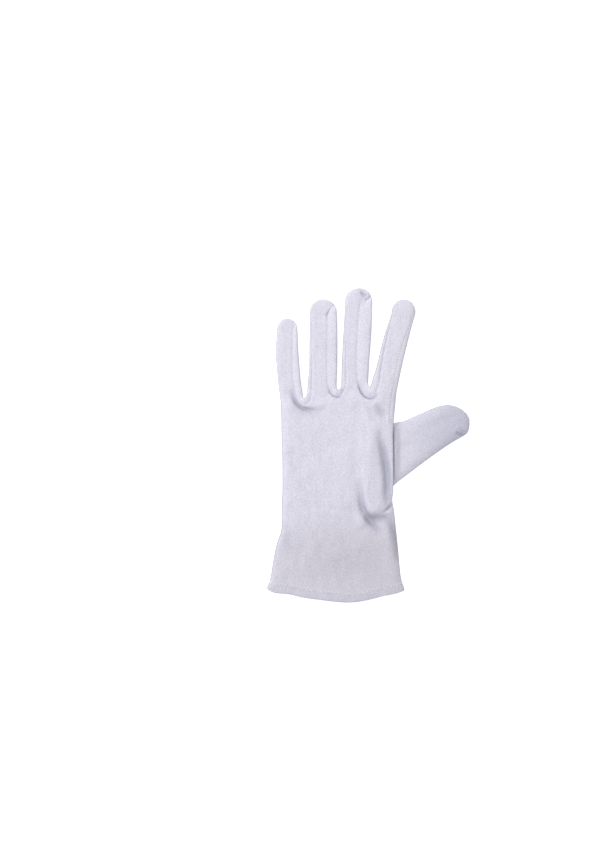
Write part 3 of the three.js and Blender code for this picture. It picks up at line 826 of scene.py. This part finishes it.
# Thumb: a tube of the same jersey, sewn into the hole in the palm and folded out to the side
# under the hand. Its lower layer fills the hole's plan, and its upper layer starts past it.
# Lower edge's x and y, upper edge's x and y, thickness
THUMB = np.array([
    (0.0, -46.0, 0.0, 0.0, 6.7),
    (10.0, -41.5, 8.0, 8.6, 6.7),
    (19.9, -30.9, 18.7, 16.1, 6.7),
    (33.2, -20.4, 27.0, 18.2, 7.4),
    (47.8, -9.5, 37.0, 22.4, 8.2),
    (62.0, 0.4, 47.5, 27.1, 8.6),
    (69.6, 4.9, 55.4, 29.9, 8.5),
    (75.7, 8.8, 63.0, 30.4, 7.8),
    (77.5, 14.0, 70.0, 28.2, 6.6),
    (77.6, 18.2, 75.0, 24.4, 4.6),
])
THUMB_EDGE_HEIGHT = 3.0
THUMB_ROUNDING = 8.5
THUMB_BELLY = 0.6  # the underside is rounded over this share of THUMB_ROUNDING
THUMB_FLATNESS = 2.3
THUMB_GRAIN = 62  # degrees from the hand's
# A slightly darker tint of the same jersey on the thumb: painted shade
THUMB_COTTON_SHADED = (0.715, 0.70, 0.792)
# Painted shade: the thumb darker and bluer towards its tip
THUMB_TIP_SHADE = ((0.078, 0.006), (0.060, 0.060), (0.80, 0.81, 0.86))
THUMB_FOLDS = [
    ([(66.5, 9.8), (70.5, 8.0), (75.0, 7.6)], 1.4, -2.0),
    ([(70.0, 14.0), (72.5, 10.6), (76.0, 9.8)], 1.1, -1.0),
    ([(20.3, 24), (20.6, 10), (20.6, -10), (20.1, -34)], 2.5, 2.8),
    ([(38, 18), (48, 20), (58, 25)], 3.5, 0.4),
    ([(30, -12), (44, -3), (58, 5)], 4.0, 0.4),
]
THUMB_ROWS = 110
THUMB_ACROSS = 40
THUMB_CROWDING = 0.85
TIP_ROWS = 6
TIP_REACH = 0.7
TIP_LAST = 0.06  # size of the last ring's share of the first


def thumb_surface():
    """Rows from the hole to the tip. A row starts at its lower edge, crosses the underside to its
    upper edge and comes back over the top, rounded at both edges by quarter circles. Past the
    last row of the table the ring shrinks as the cosine and moves out as the sine."""
    at = np.linspace(0, len(THUMB) - 1, THUMB_ROWS + 1)
    columns = [smooth_curve(np.arange(len(THUMB)), THUMB[:, c])(at)[:, None] for c in range(5)]
    low_x, low_y, high_x, high_y, thick = columns
    width = np.hypot(high_x - low_x, high_y - low_y)
    share = dense_ends(THUMB_ACROSS, THUMB_CROWDING)[None, :]
    side = np.minimum(share, 1 - share) * width
    rounding = np.minimum(THUMB_ROUNDING, width / 2)
    edge = np.minimum(THUMB_EDGE_HEIGHT, thick / 2)
    x, y = mix(low_x, high_x, share), mix(low_y, high_y, share)
    under = edge * (1 - round_over(side / (rounding * THUMB_BELLY)))
    over = (thick - edge) * round_over(side / rounding, THUMB_FLATNESS)
    over = edge + with_relief(over, folds_at(x, y, THUMB_FOLDS) + unevenness(y, x))
    lower = np.stack([x, y, under], axis=2)
    upper = np.stack([x, y, over], axis=2)
    centre = (lower[-1].mean(axis=0) + upper[-1].mean(axis=0)) / 2
    outward = np.array([high_y[-1, 0] - low_y[-1, 0], low_x[-1, 0] - high_x[-1, 0], 0])
    outward = outward / width[-1, 0]
    turn = np.linspace(0, np.pi / 2, TIP_ROWS + 1)[1:, None, None]
    shrunk, out = np.maximum(np.cos(turn), TIP_LAST), np.sin(turn) * TIP_REACH * outward
    lower = np.concatenate([lower, centre + (lower[-1] - centre) * shrunk + out])
    upper = np.concatenate([upper, centre + (upper[-1] - centre) * shrunk + out])
    return lower, upper


BASE_STEPS = 14
BASE_RISE = 2.5


def thumb_base(border):
    """The thumb's cloth from its first row, the border, out to the hole's rim: flat on the floor,
    and up to the raised palm in a quarter oval over the last BASE_RISE mm."""
    run = lengths(border[:, :2])
    off_x, off_y = off_hole(border[[0, -1]])
    ends = np.arctan2(off_y, off_x)
    angle = mix(ends[0], ends[1] - 2 * np.pi, run / run[-1])
    rim_x, rim_y = HOLE[0] + HOLE[2] * np.cos(angle), HOLE[1] + HOLE[3] * np.sin(angle)
    rim = np.stack([rim_x, rim_y], axis=1)
    rim_z = lift_at(rim[:, 0], rim[:, 1])[:, None]
    width = np.hypot(*(rim - border[:, :2]).T)[:, None]
    share = np.linspace(0, 1, BASE_STEPS + 1)[None, :]
    plan = mix(border[:, None, :2], rim[:, None], share[..., None])
    rise = 1 - round_over((1 - share) * width / np.minimum(BASE_RISE, width + 1e-6))
    return np.concatenate([plan, mix(border[:, 2:], rim_z, rise)[..., None]], axis=2)


def build_thumb():
    """The two layers share their side edges, and the last row is closed. The upper one's faces over
    the hole are left open, and the base fills the rest of the hole's plan."""
    lower, upper = thumb_surface()
    rows, across = lower.shape[:2]
    low_index = np.arange(rows * across).reshape(rows, across)
    top_index = low_index + rows * across
    top_index[:, 0], top_index[:, -1] = low_index[:, 0], low_index[:, -1]
    points = np.concatenate([lower.reshape(-1, 3), upper.reshape(-1, 3)])
    top_faces = grid_faces(top_index)
    in_hole = np.hypot(*off_hole(points[top_faces].mean(axis=1))) < 1
    low_end, high_end = np.argmin(in_hole.reshape(rows - 1, across - 1)[:, [0, -1]], axis=0)
    low_side, high_side = low_index[low_end:0:-1, 0], low_index[1:high_end + 1, -1]
    border = np.concatenate([low_side, low_index[0], high_side])
    base = thumb_base(points[border])
    base_index = np.arange(base[:, 1:].size // 3).reshape(-1, BASE_STEPS) + len(points)
    base_index = np.concatenate([border[:, None], base_index], axis=1)
    points = np.concatenate([points, base[:, 1:].reshape(-1, 3)])
    low_row, top_row = low_index[-1], top_index[-1]
    end = np.stack([low_row[:-1], low_row[1:], top_row[1:], top_row[:-1]], axis=1)
    faces = [list(f) for f in grid_faces(low_index)]
    faces += [list(f[::-1]) for f in top_faces[~in_hole]]
    faces += [list(f) for f in grid_faces(base_index)]
    faces += [list(dict.fromkeys(f)) for f in end.tolist()]
    used = sorted({i for f in faces for i in f})
    renumber = {old: new for new, old in enumerate(used)}
    faces = [[renumber[i] for i in f] for f in faces]
    # The last item is the painted shade in the thumb's creases
    return points[used], faces, crease_shade_share(points[used], THUMB_FOLDS)


thumb_points, thumb_faces, thumb_crease_shade = build_thumb()
thumb = put("thumb_cloth", thumb_points, thumb_faces, "thumb", "cotton", thumb_crease_shade)
thicken(thumb, CLOTH)
thumb_cotton = cotton("cotton_thumb", np.radians(THUMB_GRAIN), THUMB_COTTON_SHADED, THUMB_TIP_SHADE)
thumb.data.materials.append(thumb_cotton)


# Cuff hem: the trank's edge turned in once and held by a zigzag stitch, so two layers thick. It
# is the same jersey, and goes all round the open cuff.
HEM_STEPS = 180
HEM_CROWDING = 0.9
# A darker tint of the same jersey on the hem: painted shade
HEM_COTTON_SHADED = (0.68, 0.665, 0.76)
HEM_PUCKER = 0.12
PUCKER_DEPTH = 5.6
PUCKER_REACH = 1.8
OUTER_LAYER = 0.7  # points of the profile with a smaller inset are on the outer layer
CUFF_WIDTH = 105
ZIGZAG_PERIOD = 2.7


def body_ring(share, depth, inset):
    """A point of the cuff: share goes round, 0 to 1 over the back from left to right and 1 to 2
    back along the palm side; depth is the distance in from the cuff's edge, inset from the skin."""
    on_back = share <= 1
    across = np.where(on_back, share, 2 - share)
    across = mix(across, 0.5 - 0.5 * np.cos(np.pi * across), HEM_CROWDING)
    y = cuff_y(mix(CUFF_EDGE[0, 0], CUFF_EDGE[-1, 0], across)) + depth
    left, right = body_left(y) + inset, body_right(y) - inset
    x = mix(left, right, across)
    inside = np.minimum(x - left, right - x)
    up = body_thick(y) - BODY_EDGE_HEIGHT - inset
    up = up * round_over(inside / BACK_ROUNDING, BACK_FLATNESS)
    up = with_relief(up, unevenness(x, y) + folds_at(x, y, FOLDS))
    down = (BODY_EDGE_HEIGHT - inset) * round_over(inside / (PALM_ROUNDING - inset))
    z = np.where(on_back, BODY_EDGE_HEIGHT + up, np.maximum(BODY_EDGE_HEIGHT - down, 0))
    return np.stack([x, y, z], axis=-1)


# The hem's profile: depth from the cuff's edge, and inset from the trank's outer side. The inner
# layer reaches a little further in than the outer one, under the trank.
HEM_PROFILE = np.array([
    (8.5, 0.95), (8.4, 0.8), (6.95, 0.76), (6.9, 0.5), (6.88, 0.06), (6.7, 0.0), (5.6, 0.02),
    (4.6, -0.1), (3.2, -0.16), (1.8, -0.14), (0.8, -0.02), (0.25, 0.2), (0.0, 0.7), (0.15, 1.3),
    (0.6, 1.75), (2.0, 1.85), (4.0, 1.85), (6.0, 1.85), (8.0, 1.8), (8.4, 1.5),
])


def build_hem():
    """The closed profile carried once round the cuff. Each stitch draws the two layers in a
    little, so the inset wavers once a stitch between the cuff's edge and the zigzag."""
    share = np.linspace(0, 2, 2 * HEM_STEPS + 1)[:-1, None]
    depth, inset = HEM_PROFILE[None, :, 0], HEM_PROFILE[None, :, 1]
    drawn = HEM_PUCKER * np.sin(2 * np.pi * share * CUFF_WIDTH / ZIGZAG_PERIOD)
    near = np.exp(-(((depth - PUCKER_DEPTH) / PUCKER_REACH) ** 2))
    drawn = drawn * near * (inset < OUTER_LAYER)
    ring = body_ring(share, depth, inset + drawn)
    count, across = ring.shape[:2]
    index = np.arange(count * across).reshape(count, across)
    index = np.concatenate([index, index[:1]])
    index = np.concatenate([index, index[:, :1]], axis=1)
    return ring.reshape(-1, 3), grid_faces(index)


hem = put("cuff_hem_cloth", *build_hem(), "cuff_hem", "hem_cotton")
hem.data.materials.append(cotton("cotton_hem", tint=HEM_COTTON_SHADED))


# Stitches: white thread in a zigzag over the hem's raw edge, and beige thread in a running line
# along the seam that closes the trank. Each stitch is one short length of thread.
THREAD = 0.2
SEAM_THREAD = 0.26
WHITE_THREAD = (0.86, 0.85, 0.88)
BEIGE_THREAD = (0.60, 0.54, 0.45)
ZIGZAG = (5.2, 7.4)  # depths from the cuff's edge that it goes between
ZIGZAG_INSET = -0.06
ON_BACK = 0.06  # how far the thread is raised on the back, and on the palm side
ON_PALM = 0.16
BACK_SHARES = (0.03, 0.97)  # of the way round the cuff
PALM_SHARES = (1.06, 1.94)
PATH_STEPS = 1500
RUNNING_PITCH = 2.3
RUNNING_SHARE = 0.6
RUNNING_RAISED = 0.1


def short_threads(starts, ends, radius):
    """Each stitch is a six-sided spindle from start to end, arched and pinched at both ends."""
    along = np.array([0.0, 0.12, 0.5, 0.88, 1.0])
    girth = np.array([0.25, 0.9, 1.0, 0.9, 0.25])
    arch = np.array([-0.6, 0.2, 0.7, 0.2, -0.6]) * radius
    turn = np.arange(6) * np.pi / 3
    run = ends - starts
    run = run / np.linalg.norm(run, axis=1)[:, None]
    side = np.cross(run, [0, 0, 1.0])
    side /= np.linalg.norm(side, axis=1)[:, None]
    up = np.cross(side, run)
    centre = starts[:, None] + (ends - starts)[:, None] * along[None, :, None]
    centre = centre + up[:, None] * arch[None, :, None]
    ring = np.cos(turn)[:, None] * side[:, None, None]
    ring = ring + np.sin(turn)[:, None] * up[:, None, None]
    points = centre[:, :, None] + ring * (girth * radius)[None, :, None, None]
    index = np.arange(points.size // 3).reshape(points.shape[:3])
    wrapped = np.concatenate([index, index[:, :, :1]], axis=2)
    corners = [wrapped[:, :-1, :-1], wrapped[:, 1:, :-1], wrapped[:, 1:, 1:], wrapped[:, :-1, 1:]]
    faces = np.stack(corners, axis=-1).reshape(-1, 4).tolist()
    faces += index[:, 0].tolist() + index[:, -1, ::-1].tolist()
    return points.reshape(-1, 3), faces


def zigzag(first, last):
    """Corners of the zigzag along the cuff between two shares of its ring, ends to ends."""
    dense = np.linspace(first, last, PATH_STEPS)
    path = body_ring(dense, np.full_like(dense, np.mean(ZIGZAG)), 0.0)
    length = lengths(path)
    corners = int(length[-1] / (ZIGZAG_PERIOD / 2))
    share = np.interp(np.linspace(0, length[-1], corners + 1), length, dense)
    depth = np.where(np.arange(corners + 1) % 2, *ZIGZAG)
    points = body_ring(share, depth, np.full_like(share, ZIGZAG_INSET))
    points[:, 2] += np.where(share <= 1, ON_BACK, ON_PALM)
    return points[:-1], points[1:]


def thread_material(name, colour):
    """Matt cotton thread with a fine twist as bump."""
    material = bpy.data.materials.new(name)
    material.use_nodes = True
    shader = material.node_tree.nodes["Principled BSDF"]
    shader.inputs["Base Color"].default_value = (*colour, 1)
    shader.inputs["Roughness"].default_value = 0.8
    where = add_node(material, "ShaderNodeTexCoord", {}).outputs["Object"]
    twist = add_node(material, "ShaderNodeTexNoise", {"Scale": 9000, "Vector": where})
    inputs = {"Strength": 0.3, "Distance": 0.00005, "Height": twist.outputs["Fac"]}
    bump = add_node(material, "ShaderNodeBump", inputs)
    material.node_tree.links.new(bump.outputs["Normal"], shader.inputs["Normal"])
    return material


over_back, over_palm = zigzag(*BACK_SHARES), zigzag(*PALM_SHARES)
hem_ends = [np.concatenate(pair) for pair in zip(over_back, over_palm)]
hem_stitches = put("hem_stitches", *short_threads(*hem_ends, THREAD), None, "hem_cotton")
hem_stitches.data.materials.append(thread_material("white_thread", WHITE_THREAD))


def closing_stitches():
    """Ends of the running stitches, laid on the back along the closing seam."""
    length = lengths(CLOSING_SEAM)
    count = int(length[-1] / RUNNING_PITCH)
    starts = np.arange(count) * RUNNING_PITCH
    line_x = smooth_curve(length, CLOSING_SEAM[:, 0])
    line_y = smooth_curve(length, CLOSING_SEAM[:, 1])

    def on_back(at):
        x, y = line_x(at), line_y(at)
        out_of_body = smooth_step((y - foot_line(x)) / LEVELLING)
        z = back_height(x, y, fingers[INDEX], out_of_body) + RUNNING_RAISED
        return np.stack([x, y, z], axis=1)

    return on_back(starts), on_back(starts + RUNNING_PITCH * RUNNING_SHARE)


seam_threads = short_threads(*closing_stitches(), SEAM_THREAD)
seam_stitches = put("closing_seam_stitches", *seam_threads, None, "cotton")
seam_stitches.data.materials.append(thread_material("beige_thread", BEIGE_THREAD))


# Studio: a plain white floor, a soft light from the upper left, and the camera straight above,
# where one pixel of the 851 high picture is 0.7626 mm on the floor.
PIXEL = 0.7626 * MM
PICTURE_ROWS = 851
PICTURE_MIDDLE = (-52.05 * MM, 14.83 * MM)
LENS = 85
SENSOR = 36
MEAN_HEIGHT = 8 * MM  # the height at which a pixel is that size
FLOOR_HALF = 40.0
FLOOR_BELOW = 0.1 * MM  # under the glove, so that the two don't share a plane
FLOOR_TONE = 0.6
FLOOR_GLOW = 0.8
WORLD_STRENGTH = 0.44


def plane(name, half):
    """A level square about the origin."""
    mesh = bpy.data.meshes.new(name)
    corners = [(-half, -half, 0), (half, -half, 0), (half, half, 0), (-half, half, 0)]
    mesh.from_pydata(corners, [], [(0, 1, 2, 3)])
    item = bpy.data.objects.new(name, mesh)
    bpy.context.scene.collection.objects.link(item)
    return item


floor = plane("floor", FLOOR_HALF)
floor.location.z = -FLOOR_BELOW
floor_paint = bpy.data.materials.new("floor_paint")
floor_paint.use_nodes = True
floor_shader = floor_paint.node_tree.nodes["Principled BSDF"]
floor_shader.inputs["Base Color"].default_value = (FLOOR_TONE, FLOOR_TONE, FLOOR_TONE, 1)
floor_shader.inputs["Roughness"].default_value = 0.9
floor_shader.inputs["Emission Color"].default_value = (1, 1, 1, 1)
floor_shader.inputs["Emission Strength"].default_value = FLOOR_GLOW
floor.data.materials.append(floor_paint)


def area_light(name, place, size, power):
    """A square white light at a place, facing the middle of the glove."""
    light = bpy.data.lights.new(name, "AREA")
    light.size, light.energy, light.color = size, power, (1, 1, 1)
    lamp = bpy.data.objects.new(name, light)
    lamp.location = place
    lamp.rotation_euler = (-Vector(place)).to_track_quat("-Z", "Y").to_euler()
    bpy.context.scene.collection.objects.link(lamp)


area_light("key", place=(-0.48, 0.36, 1.05), size=0.9, power=10.5)
area_light("fill", place=(1.0, -0.5, 1.4), size=1.4, power=1)

world = bpy.data.worlds.new("studio")
world.use_nodes = True
background = world.node_tree.nodes["Background"]
background.inputs["Color"].default_value = (1, 1, 1, 1)
background.inputs["Strength"].default_value = WORLD_STRENGTH
bpy.context.scene.world = world
bpy.context.scene.view_settings.view_transform = "Standard"

camera_data = bpy.data.cameras.new("camera")
camera_data.lens = LENS
camera_data.sensor_width = SENSOR
camera_data.clip_end = 100
camera = bpy.data.objects.new("camera", camera_data)
camera.location = (*PICTURE_MIDDLE, PICTURE_ROWS * PIXEL * LENS / SENSOR + MEAN_HEIGHT)
bpy.context.scene.collection.objects.link(camera)
bpy.context.scene.camera = camera
